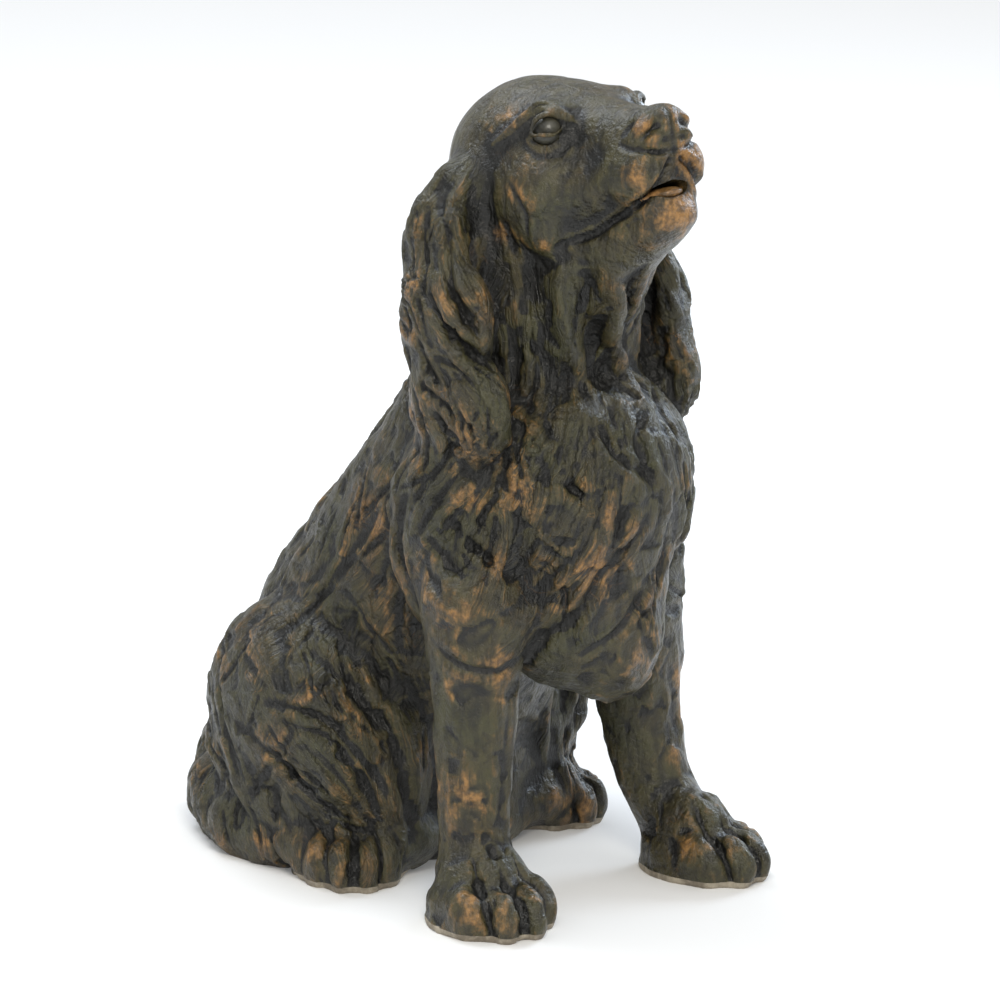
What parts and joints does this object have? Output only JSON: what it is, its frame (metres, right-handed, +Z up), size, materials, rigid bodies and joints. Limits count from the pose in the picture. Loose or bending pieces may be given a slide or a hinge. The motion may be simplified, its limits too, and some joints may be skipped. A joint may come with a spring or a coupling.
{
  "type": "dog figurine",
  "caption": "Sitting spaniel statuette in dark patinated stoneware, head raised, long feathered ears, tail curled along one haunch.",
  "frame": {"origin": "centre of the bounding box on the ground the figure stands on", "axes": "+Z up through the head, -Y the way the dog faces, +X the dog's left side"},
  "size_m": [0.1836, 0.2842, 0.367],
  "materials": {
    "torso": "olive black fired stain over stoneware, ochre on the rubbed ridges, waxed",
    "head": "olive black fired stain over stoneware, ochre on the rubbed ridges, waxed",
    "lower_jaw": "olive black fired stain over stoneware, ochre on the rubbed ridges, waxed",
    "tongue": "ochre stain, waxed",
    "eye_right": "olive black stain, smooth and waxed",
    "eye_left": "olive black stain, smooth and waxed",
    "ear_right": "olive black fired stain over stoneware, ochre on the rubbed ridges, waxed",
    "ear_left": "olive black fired stain over stoneware, ochre on the rubbed ridges, waxed",
    "chest_ruff": "olive black fired stain over stoneware, ochre on the rubbed ridges, waxed",
    "foreleg_right": "olive black fired stain over stoneware, ochre on the rubbed ridges, waxed",
    "foreleg_left": "olive black fired stain over stoneware, ochre on the rubbed ridges, waxed",
    "haunch_right": "olive black fired stain over stoneware, ochre on the rubbed ridges, waxed",
    "haunch_left": "olive black fired stain over stoneware, ochre on the rubbed ridges, waxed",
    "hind_paw_right": "olive black fired stain over stoneware, ochre on the rubbed ridges, waxed",
    "hind_paw_left": "olive black fired stain over stoneware, ochre on the rubbed ridges, waxed",
    "tail": "olive black fired stain over stoneware, ochre on the rubbed ridges, waxed",
    "foreleg_right_sole": "matt grey foot pad",
    "foreleg_left_sole": "matt grey foot pad",
    "hind_paw_right_sole": "matt grey foot pad",
    "hind_paw_left_sole": "matt grey foot pad"
  },
  "bodies": {
    "root": {"torso": "torso", "head": "head", "lower_jaw": "lower_jaw", "tongue": "tongue", "eye_right": "eye_right", "eye_left": "eye_left", "ear_right": "ear_right", "ear_left": "ear_left", "chest_ruff": "chest_ruff", "foreleg_right": "foreleg_right", "foreleg_left": "foreleg_left", "haunch_right": "haunch_right", "haunch_left": "haunch_left", "hind_paw_right": "hind_paw_right", "hind_paw_left": "hind_paw_left", "tail": "tail", "foreleg_right_sole": "foreleg_right_sole", "foreleg_left_sole": "foreleg_left_sole", "hind_paw_right_sole": "hind_paw_right_sole", "hind_paw_left_sole": "hind_paw_left_sole"}
  },
  "joints": []
}
